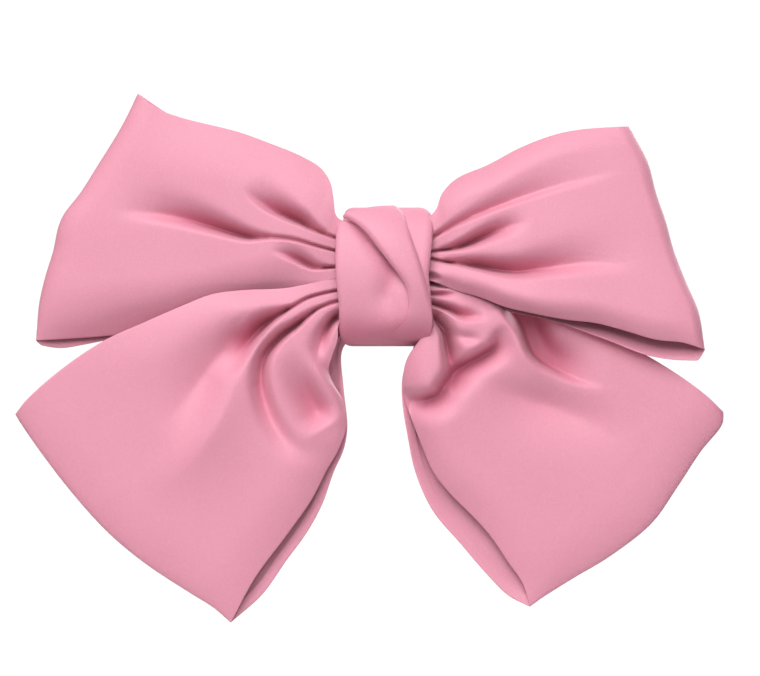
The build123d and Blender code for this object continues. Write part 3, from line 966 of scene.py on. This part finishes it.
RIGHT_TAIL = Panel(
    name="right_tail_ribbon",
    node="right_tail",
    outer=(
        (95.8, -38.0), (95.6, -41.4), (89.3, -49.5), (82.8, -59.4), (75.6, -69.5), (63.7, -78.9),
        (53.8, -84.8), (44.2, -90.8), (41.1, -93.0),
    ),
    front=Layer(
        top=(
            (9.6, -1.5), (17.2, -2.0), (27.0, -4.0), (41.1, -8.0), (55.2, -13.0), (63.7, -16.6),
            (73.0, -21.4), (82.8, -27.4), (90.7, -33.2), (95.8, -38.0),
        ),
        bottom=(
            (9.6, -16.1), (13.0, -16.9), (11.0, -18.0), (7.9, -20.6), (5.9, -24.5), (5.4, -29.0),
            (5.8, -34.1), (7.9, -40.6), (10.4, -47.0), (13.8, -54.9), (18.3, -60.8), (24.8, -67.3),
            (29.9, -73.0), (35.2, -80.8), (38.9, -86.2), (41.1, -93.0),
        ),
        folds=(
            Fold(((33.5, -7.0), (37.3, -10.6), (39.2, -14.3), (40.3, -17.9), (41.6, -20.9), (43.8, -23.4),
                  (46.8, -25.2), (50.2, -26.9), (55.6, -28.8), (62.0, -30.3)),
                 lift=-13.0, left=(5.0, 9.5), right=(0.6, 1.3), start=0.9, rise=0.3, fade=(0.2, 1.05)),
            Fold(((32.3, -9.6), (35.2, -13.2), (37.4, -17.2), (39.4, -21.8), (43.4, -26.4), (50.2, -29.6)),
                 lift=1.6, left=(0.6, 0.9), right=(2.0, 4.0), start=0.8, fade=(0.5, 1.0)),
            Fold(((38.0, -10.0), (41.5, -14.5), (45.0, -18.5), (52.0, -23.0), (60.0, -27.0)),
                 lift=-5.0, left=(3.0, 5.0), right=(3.0, 4.0), start=0.8, fade=(0.1, 1.0)),
            Fold(((35.0, -12.5), (34.0, -14.6), (32.7, -16.8), (31.2, -19.8), (27.5, -22.4), (23.7, -24.6),
                  (20.0, -27.6), (17.3, -30.6), (15.5, -33.2), (12.1, -34.7), (6.5, -34.7)),
                 lift=-8.0, left=(2.8, 4.2), right=(1.6, 2.4), start=0.0, rise=0.3, fade=(0.8, 1.2)),
            Fold(((14.2, -11.8), (16.3, -14.8), (17.1, -16.8), (17.7, -19.5), (18.2, -21.7), (18.8, -25.0),
                  (18.9, -28.0)),
                 lift=-10.5, left=(2.0, 3.6), right=(0.6, 2.0), start=0.8, rise=0.2, fade=(0.5, 1.25)),
            Fold(((9.6, -4.6), (12.7, -4.8), (17.0, -4.8), (21.0, -5.1)),
                 lift=-3.0, left=(0.4, 0.7), right=(0.4, 0.7), start=1.0),
            Fold(((9.6, -6.8), (13.0, -7.4), (18.1, -9.1), (21.8, -10.7), (25.6, -11.0), (29.4, -10.2)),
                 lift=-6.5, left=(0.6, 2.4), right=(0.4, 1.2), start=0.6, rise=0.4),
            Fold(((9.6, -1.6), (14.0, -2.0), (18.5, -3.2)),
                 lift=-5.0, left=(0.9, 0.9), right=(0.5, 0.5), start=1.0),
            Fold(((18.8, -15.6), (21.8, -16.8), (25.6, -17.2), (28.5, -16.6)),
                 lift=-1.8, left=(1.5, 1.5), right=(1.5, 1.5), start=0.5),
            Fold(((27.0, -30.0), (38.0, -34.0), (49.0, -37.5), (59.0, -42.0), (70.0, -49.0)),
                 lift=-3.8, left=(4.5, 7.0), right=(7.0, 11.0), start=0.2, rise=0.4, fade=(0.4, 1.05)),
        ),
        belly=((0.0, 6.0), (0.25, 8.0), (0.5, 5.5), (0.8, 3.6), (1.0, 2.8)),
    ),
    back=Layer(
        top=(
            (9.6, -1.5), (27.0, -4.5), (55.2, -13.5), (73.0, -21.8), (82.8, -27.8), (95.8, -38.0),
        ),
        bottom=(
            (9.6, -16.6), (7.9, -21.1), (5.4, -26.8), (5.0, -34.1), (6.6, -45.0), (8.7, -54.9),
            (13.6, -65.9), (21.2, -74.9), (28.5, -83.4), (35.0, -89.9), (41.1, -93.0),
        ),
        folds=gathers(
            ((9.6, -4.0), (18.0, -7.6), (30.0, -14.4), (43.0, -23.0)),
            ((9.6, -8.0), (16.0, -13.8), (24.0, -24.0), (32.0, -40.0)),
            ((9.6, -12.4), (13.0, -19.0), (16.0, -29.0), (18.0, -45.0)),
        ),
        belly=TAIL_BACK_BELLY,
    ),
    lean=(1.5, 0.0),
    edge_reach=10.0,
    turn_radius=12.0,
    flat=(0.080, 0.190),
    area=0.0105,
)


# ---- knot and waist --------------------------------------------------------------------
@dataclass(frozen=True)
class Knot:
    """The satin strip wound round the waist and the plate, with its twisted front.

    Attributes:
        left: Its left edge down the front, as (x, z) in mm.
        right: Its right edge down the front.
        middle_y: Its middle, in mm.
        half_depth: Half its depth.
        half_height: Half its height.
        back_half_width: Half its width behind the plate.
        lap: How far its ends overlap behind, in degrees.
        flat: The length and width that it is cut from, in metres.
        area: The cut's area in square metres, as it narrows behind. It is not used.
        folds: The folds of its front.
        columns: Grid columns across it.
        rows: Grid rows round it.
    """

    left: tuple[Point, ...] = (
        (-11.0, 19.6), (-11.6, 17.4), (-13.0, 14.4), (-13.5, 6.0), (-13.2, -1.4), (-12.5, -8.7),
        (-12.2, -17.0), (-11.0, -19.8),
    )
    right: tuple[Point, ...] = (
        (12.4, 19.6), (13.4, 17.6), (13.5, 11.3), (13.0, 5.9), (12.5, 0.3), (13.0, -5.1),
        (13.6, -12.1), (13.9, -15.0), (11.6, -18.4), (10.0, -19.6),
    )
    middle_y: float = -15.9
    half_depth: float = 11.4
    half_height: float = 19.3
    back_half_width: float = 7.3
    lap: float = 24.0
    flat: Point = (0.110, 0.028)
    area: float = 0.0026
    folds: tuple[Fold, ...] = (
        Fold(((-12.5, 18.3), (-8.5, 15.6), (-4.6, 12.0), (-1.6, 8.2), (1.6, 4.2), (4.6, 0.4), (6.3, -2.4),
              (7.0, -5.4), (7.4, -9.0)),
             lift=-2.6, left=(1.5, 3.0), right=(1.4, 5.0), start=0.6, fade=(0.55, 1.0)),
        Fold(((2.5, 1.5), (1.0, -3.0), (0.2, -7.0), (-0.5, -11.0)),
             lift=-1.3, left=(3.0, 3.0), right=(3.5, 3.5), start=0.6),
        Fold(((7.0, -11.0), (3.5, -12.6), (-2.0, -13.6), (-8.0, -13.6)),
             lift=1.0, left=(2.6, 3.0), right=(2.6, 3.0), start=0.6, fade=(0.3, 1.0)),
    )
    columns: int = 80
    rows: int = 150

    def mesh(self) -> bpy.types.Mesh:
        """Wind one grid round the waist.

        Returns:
            The mesh, in metres.
        """
        shape, grid = sheet_grid(self.columns, self.rows)
        even = grid[:, 1] * 2 - 1
        turn = np.radians((0.55 * even + 0.45 * even**3) * (180.0 + self.lap / 2))
        up = np.sin(turn)
        out = np.cos(turn)
        over = np.abs(turn) - np.radians(180.0 - self.lap / 2)
        lap_lift = 0.35 * smoothstep(over, -0.1, 0.2) * np.sign(turn)
        z = self.half_height * up
        across = grid[:, 0] - 0.5
        tilt = np.where(z > 0, 0.06 * np.minimum(across + 0.1, 0.0), -0.06 * across)
        tilt = tilt * smoothstep(out, 0.0, 0.5)
        z = z * (1 + tilt * smoothstep(np.abs(z), 8.0, 19.0))
        left, right = smooth_curve(self.left, 120), smooth_curve(self.right, 120)
        low = np.interp(z, left[::-1, 1], left[::-1, 0])
        high = np.interp(z, right[::-1, 1], right[::-1, 0])
        behind = smoothstep(-out, -0.25, 0.9)
        low = low * (1 - behind) - self.back_half_width * behind
        high = high * (1 - behind) + self.back_half_width * behind
        x = low + (high - low) * grid[:, 0]
        front = smoothstep(out, -0.15, 0.25)
        lift = sum((fold.depth(x, z) for fold in self.folds), np.zeros(len(x))) * front
        roll = np.minimum(x - low, high - x)
        lift = lift - 1.3 * (1 - round_rim(roll, 2.2)) + lap_lift
        y = self.middle_y - self.half_depth * out
        # Painted shade: the knot's lower part, where it turns downwards, and the valleys beside its fold
        # are painted darker.
        under = smoothstep(-z, 8.0, 17.0) + 0.5 * smoothstep(-lift, 0.6, 2.6) * (roll > 3.0)
        painted_shade = np.clip(under, 0.0, 1.0) * front
        normal = np.stack([np.zeros(len(x)), -out / self.half_depth, up / self.half_height], axis=1)
        normal /= np.linalg.norm(normal, axis=1)[:, None]
        points = np.stack([x, y, z], axis=1) + normal * lift[:, None]
        lay_sheet(shape, grid, points, painted_shade, (self.flat[1], self.flat[0]))
        return take_mesh(shape, "knot_strip")

    def build(self, finish: bpy.types.Material) -> bpy.types.Object:
        """Make the knot and place it on the bow.

        Args:
            finish: The satin.

        Returns:
            The finished piece.
        """
        piece = add_piece("knot_strip", self.mesh(), finish)
        finish_cloth(piece, 0.5)
        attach(piece, "bow_and_plate")
        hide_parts("knot_wrap")
        return piece


@dataclass(frozen=True)
class KnotBand:
    """The twisted fold that crosses the front of the knot from its top to its lower right.

    Attributes:
        knot: The knot that it lies on.
        near: Its lower-left edge, from the top down, as (x, z) in mm.
        far: Its right edge, from the top down.
        clear: How far it stands off the knot at its start, its middle and its lower end.
        curl: How far its edges roll down.
        curl_reach: How far in from its edges the roll starts.
        flat: The width and length that it is cut from, in metres.
    """

    knot: Knot
    near: tuple[Point, ...] = (
        (-11.6, 16.9), (-8.9, 15.5), (-5.3, 12.5), (-2.0, 8.5), (1.3, 4.3), (4.2, 0.6), (6.0, -2.2),
        (6.9, -5.2), (7.0, -8.6), (5.9, -11.8), (3.6, -14.4), (0.5, -16.6),
    )
    far: tuple[Point, ...] = (
        (4.0, 19.2), (5.3, 17.4), (6.4, 14.0), (7.6, 10.4), (9.4, 5.5), (11.2, -0.5), (12.4, -5.2),
        (13.2, -9.5), (13.5, -13.0), (12.8, -16.0), (11.0, -18.4),
    )
    clear: tuple[Point, ...] = ((0.0, 1.0), (0.3, 1.6), (0.6, 1.4), (0.8, 0.9), (1.0, 0.1))
    curl: float = 1.5
    curl_reach: float = 1.5
    flat: Point = (0.014, 0.040)

    def mesh(self) -> bpy.types.Mesh:
        """Lay one grid over the front of the knot.

        Returns:
            The mesh, in metres.
        """
        shape, grid = sheet_grid(70, 120)
        down = 1 - grid[:, 1]
        near, far = read_curve(self.near, down, 200), read_curve(self.far, down, 200)
        place = near + (far - near) * grid[:, :1]
        knot = self.knot
        rise = np.clip(place[:, 1] / knot.half_height, -0.999, 0.999)
        ring = knot.middle_y - knot.half_depth * np.sqrt(1 - rise**2)
        breadth = np.linalg.norm(far - near, axis=1)
        from_near = round_rim(grid[:, 0] * breadth, self.curl_reach)
        from_far = round_rim((1 - grid[:, 0]) * breadth, self.curl_reach)
        roll = self.curl * (2 - from_near - from_far) * smoothstep(1 - down, 0.15, 0.45)
        lean = 0.7 * np.sin(math.pi * grid[:, 0]) * smoothstep(1 - down, 0.0, 0.5)
        stand = profile(down, self.clear) + 0.25 + lean
        rounding = 2.2 * smoothstep(np.abs(rise), 0.86, 1.0)
        normal = np.stack(
            [np.zeros(len(down)), -np.sqrt(1 - rise**2) / knot.half_depth, rise / knot.half_height], axis=1
        )
        normal /= np.linalg.norm(normal, axis=1)[:, None]
        points = np.stack([place[:, 0], ring, place[:, 1]], axis=1)
        points += normal * (stand - roll - rounding * 0.2)[:, None]
        # Painted shade: the band is painted darker towards the bottom of the knot, where it turns
        # downwards.
        under = smoothstep(-place[:, 1], 8.0, 17.0)
        lay_sheet(shape, grid, points, under, self.flat)
        return take_mesh(shape, "knot_band")

    def build(self, finish: bpy.types.Material) -> bpy.types.Object:
        """Make the band and place it on the knot.

        Args:
            finish: The satin.

        Returns:
            The finished piece.
        """
        piece = add_piece("knot_band", self.mesh(), finish)
        finish_cloth(piece, 0.45)
        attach(piece, "bow_and_plate")
        return piece


@dataclass(frozen=True)
class Waist:
    """The pleated middle of the ribbons and the thread that binds it, in mm.

    Attributes:
        pleats: How many pleats show round it.
        pleat_depth: How far each pleat stands up and dips.
        half_depth: Half its depth.
        half_height: Half its height.
        half_length: Half its length.
        middle_y: Its middle.
        thread_turns: How often the thread goes round.
        thread_radius: The thread's radius.
    """

    pleats: int = 11
    pleat_depth: float = 0.9
    half_depth: float = 6.2
    half_height: float = 13.4
    half_length: float = 10.6
    middle_y: float = -15.5
    thread_turns: int = 9
    thread_radius: float = 0.32

    def build_pleats(self, finish: bpy.types.Material) -> bpy.types.Object:
        """Make the gathered bundle as a fluted rod.

        Args:
            finish: The satin.

        Returns:
            The finished piece.
        """
        shape = bmesh.new()
        bmesh.ops.create_cone(
            shape, cap_ends=True, cap_tris=False, segments=132, radius1=1.0, radius2=1.0, depth=2.0
        )
        sides = [edge for edge in shape.edges if abs(edge.verts[0].co.z - edge.verts[1].co.z) > 1]
        bmesh.ops.subdivide_edges(shape, edges=sides, cuts=14, use_grid_fill=True)
        for vertex in shape.verts:
            angle = math.atan2(vertex.co.y, vertex.co.x)
            flute = math.cos(self.pleats * angle + 0.8 * vertex.co.z) * self.pleat_depth
            squeeze = 1.0 - 0.12 * (1 - vertex.co.z**2)
            depth = (self.half_depth - self.pleat_depth + flute) * squeeze
            height = (self.half_height - self.pleat_depth + flute) * squeeze
            vertex.co = (
                vertex.co.z * self.half_length * MM,
                (self.middle_y + depth * math.cos(angle)) * MM,
                height * math.sin(angle) * MM,
            )
        for face in shape.faces:
            face.smooth = len(face.verts) == 4
        piece = add_piece("waist_pleats", take_mesh(shape, "waist_pleats"), finish)
        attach(piece, "bow_and_plate")
        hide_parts("waist_gather")
        return piece

    def build_thread(self, finish: bpy.types.Material) -> bpy.types.Object:
        """Wind the binding thread round the waist as one helix.

        Args:
            finish: The thread's material.

        Returns:
            The finished piece.
        """
        per_turn = 24
        curve = bpy.data.curves.new("binding_windings", "CURVE")
        curve.dimensions = "3D"
        spline = curve.splines.new("POLY")
        count = self.thread_turns * per_turn + 1
        spline.points.add(count - 1)
        depth = self.half_depth + self.thread_radius
        height = self.half_height + self.thread_radius
        for index, point in enumerate(spline.points):
            angle = 2 * math.pi * index / per_turn
            x = (index / (count - 1) - 0.5) * self.thread_turns * self.thread_radius * 2
            y = self.middle_y + depth * math.cos(angle)
            point.co = (x * MM, y * MM, height * math.sin(angle) * MM, 1.0)
        curve.bevel_depth = self.thread_radius * MM
        curve.bevel_resolution = 2
        curve.use_fill_caps = True
        piece = bpy.data.objects.new("binding_windings", curve)
        curve.materials.append(finish)
        bpy.context.scene.collection.objects.link(piece)
        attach(piece, "bow_and_plate")
        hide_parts("binding_thread")
        LOG.info("built binding_windings")
        return piece


@dataclass(frozen=True)
class FeltStrip:
    """The felt between the bow and the plate, cut with rounded ends.

    Attributes:
        thickness: Its thickness, in metres.
        flat: The length and width that it is cut from, in metres. It is not used.
    """

    thickness: float = 0.00095
    flat: Point = (0.064, 0.012)

    def build(self, finish: bpy.types.Material) -> bpy.types.Object:
        """Make the felt from its CAD box, bent as the plate is.

        Args:
            finish: The felt's material.

        Returns:
            The finished piece.
        """
        low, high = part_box("felt_backing")
        half = (high[0] - low[0]) / 2
        rise = high[1] - low[1] - self.thickness
        radius = (half**2 + rise**2) / (2 * rise)
        shape = bmesh.new()
        bmesh.ops.create_grid(shape, x_segments=80, y_segments=14, size=1.0)
        width = (high[2] - low[2]) / 2
        weave = shape.loops.layers.uv.new("weave")
        for face in shape.faces:
            face.smooth = True
            for loop in face.loops:
                loop[weave].uv = (loop.vert.co.x * half, loop.vert.co.y * width)
        for vertex in shape.verts:
            u, w = vertex.co.x, vertex.co.y
            end = max(0.0, (abs(u) - 0.85) / 0.15)
            narrowed = math.sqrt(max(0.0, 1 - end**2)) * 0.75 + 0.25
            x = u * half
            y = low[1] + self.thickness / 2 + radius - math.sqrt(radius**2 - x**2)
            fuzz = 0.00006 * math.sin(90 * u) * math.cos(31 * w + 5 * u)
            vertex.co = (x, y + fuzz, w * width * narrowed)
        piece = add_piece("felt_strip", take_mesh(shape, "felt_strip"), finish)
        finish_cloth(piece, self.thickness / MM)
        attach(piece, "bow_and_plate")
        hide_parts("felt_backing")
        return piece


# ---- clip metal ------------------------------------------------------------------------
@dataclass(frozen=True)
class ClipMetal:
    """The finishes of the clip's own pieces.

    Attributes:
        strip: The thick plated strip.
        spring: The thin spring leaf.
        fingers: The sprung fingers.
        bright: The polished pins.
    """

    strip: PlatedSteel = PlatedSteel((0.86, 0.85, 0.83, 1.0), 0.30, Lay.ALONG_CLIP)
    spring: PlatedSteel = PlatedSteel((0.74, 0.74, 0.75, 1.0), 0.36, Lay.ALONG_CLIP)
    fingers: PlatedSteel = PlatedSteel((0.78, 0.78, 0.78, 1.0), 0.32, Lay.ACROSS_CLIP)
    bright: PlatedSteel = PlatedSteel((0.80, 0.79, 0.77, 1.0), 0.20, Lay.NONE, 0.000005)

    def dress(self) -> None:
        """Give each CAD node of the clip its metal."""
        finishes = {
            "plated_strip": (self.strip, ("base_plate", "locking_arm", "clasp_saddle")),
            "spring_leaf": (self.spring, ("tension_bar",)),
            "spring_fingers": (self.fingers, ("clasp_finger_upper", "clasp_finger_lower")),
            "bright_pins": (self.bright, ("hinge_pin", "saddle_rivets")),
        }
        for name, (finish, nodes) in finishes.items():
            material = finish.build(name)
            for node in nodes:
                dress_node(node, material)


def dress_node(node: str, material: bpy.types.Material) -> None:
    """Put one material on every slot of a CAD node.

    Args:
        node: The node's name.
        material: Its material.
    """
    piece = bpy.data.objects[node]
    for slot in piece.material_slots:
        slot.material = material
    LOG.info("dressed %s", node)


# ---- studio ----------------------------------------------------------------------------
@dataclass(frozen=True)
class Softbox:
    """One square studio light.

    Attributes:
        name: Its name.
        place: Where it stands, in metres.
        size: Its side, in metres.
        power: Its power, in watts.
    """

    name: str
    place: Place
    size: float
    power: float

    def build(self, target: Place) -> None:
        """Hang the light.

        Args:
            target: The place that it faces, in metres.
        """
        lamp = bpy.data.lights.new(self.name, "AREA")
        lamp.shape = "SQUARE"
        lamp.size = self.size
        lamp.energy = self.power
        holder = bpy.data.objects.new(self.name, lamp)
        holder.location = self.place
        holder.rotation_euler = aim(self.place, target)
        bpy.context.scene.collection.objects.link(holder)


def aim(place: Place, target: Place) -> tuple[float, ...]:
    """The rotation that points a light or a camera from a place to a target."""
    direction = Vector(target) - Vector(place)
    return tuple(direction.to_track_quat("-Z", "Y").to_euler())


@dataclass(frozen=True)
class Studio:
    """The pale floor, the white surround, the lights and the camera, in metres.

    Attributes:
        floor_z: The floor's height.
        floor_radius: The floor's radius.
        frame_width: The width that the camera sees at the bow.
        frame_centre: The x and z of the middle of that view.
        camera_distance: How far in front of the origin the camera stands.
        bow_y: The bow's middle plane.
        surround: The strength of the white surround as a light, below and above.
        light_target: The place that the lights face.
        lights: The lights.
    """

    floor_z: float = -0.30
    floor_radius: float = 0.32
    frame_width: float = 0.2141
    frame_centre: Point = (-0.0011, -0.0172)
    camera_distance: float = 1.5
    bow_y: float = -0.0155
    surround: Point = (0.06, 0.34)
    light_target: Place = (0.0, -0.015, -0.02)
    lights: tuple[Softbox, ...] = (
        Softbox("key", (-0.28, -0.94, 0.78), 1.1, 20.9),
        Softbox("fill", (0.10, -1.30, 0.10), 1.0, 3.5),
        Softbox("back", (0.55, 0.75, 0.50), 0.8, 9.0),
    )

    def build_floor(self) -> None:
        """Lay the round pale floor."""
        shape = bmesh.new()
        bmesh.ops.create_circle(shape, cap_ends=True, segments=96, radius=self.floor_radius)
        bmesh.ops.translate(shape, verts=shape.verts, vec=(0.0, 0.0, self.floor_z))
        mesh = bpy.data.meshes.new("studio_floor")
        shape.to_mesh(mesh)
        shape.free()
        nodes = Nodes("pale_floor")
        place = nodes.place()
        mottle = nodes.add("ShaderNodeTexNoise", vector=place, scale=30.0, detail=2.0)
        nodes.dress_shader(Base_Color=nodes.mix(mottle.outputs["Fac"], grey(0.86), grey(0.9)))
        nodes.set_shader(Roughness=0.8)
        floor = add_piece("studio_floor", mesh, nodes.material)

    def build_surround(self) -> None:
        """White seen directly; as a light, a bright ceiling over a dim lower half."""
        world = bpy.data.worlds.new("white_surround")
        bpy.context.scene.world = world
        world.use_nodes = True
        tree = world.node_tree
        background = tree.nodes["Background"]
        background.inputs["Color"].default_value = grey(1.0)
        seen = tree.nodes.new("ShaderNodeLightPath")
        place = tree.nodes.new("ShaderNodeTexCoord")
        height = tree.nodes.new("ShaderNodeSeparateXYZ")
        tree.links.new(place.outputs["Generated"], height.inputs["Vector"])
        light = tree.nodes.new("ShaderNodeMapRange")
        light.inputs["From Min"].default_value = -0.6
        light.inputs["From Max"].default_value = 0.8
        light.inputs["To Min"].default_value = self.surround[0]
        light.inputs["To Max"].default_value = self.surround[1]
        tree.links.new(height.outputs["Z"], light.inputs["Value"])
        level = tree.nodes.new("ShaderNodeMapRange")
        level.inputs["To Max"].default_value = 1.05
        tree.links.new(seen.outputs["Is Camera Ray"], level.inputs["Value"])
        tree.links.new(light.outputs["Result"], level.inputs["To Min"])
        tree.links.new(level.outputs["Result"], background.inputs["Strength"])

    def build_camera(self) -> None:
        """Stand the camera straight in front of the bow."""
        lens = bpy.data.cameras.new("camera")
        lens.sensor_width = 36.0
        lens.lens = lens.sensor_width * (self.camera_distance + self.bow_y) / self.frame_width
        lens.clip_end = 20.0
        camera = bpy.data.objects.new("camera", lens)
        camera.location = (self.frame_centre[0], -self.camera_distance, self.frame_centre[1])
        camera.rotation_euler = (math.pi / 2, 0.0, 0.0)
        bpy.context.scene.collection.objects.link(camera)
        bpy.context.scene.camera = camera

    def build(self) -> None:
        """Build the whole studio."""
        self.build_floor()
        self.build_surround()
        for light in self.lights:
            light.build(self.light_target)
        self.build_camera()
        bpy.context.scene.view_settings.view_transform = "Standard"


def main() -> None:
    """Build every piece in order."""
    logging.basicConfig(level=logging.INFO)
    satin = SatinCrepe().build("satin_crepe")
    thread = Thread().build("twisted_thread")
    waist = Waist()
    waist.build_pleats(satin)
    waist.build_thread(thread)
    for panel in (LEFT_LOOP, RIGHT_LOOP, LEFT_TAIL, RIGHT_TAIL):
        panel.build(satin)
    knot = Knot()
    knot.build(satin)
    KnotBand(knot).build(satin)
    FeltStrip().build(Felt().build("pressed_felt"))
    dress_node("knot_stitches", thread)
    ClipMetal().dress()
    Studio().build()


if __name__ == "__main__":
    main()
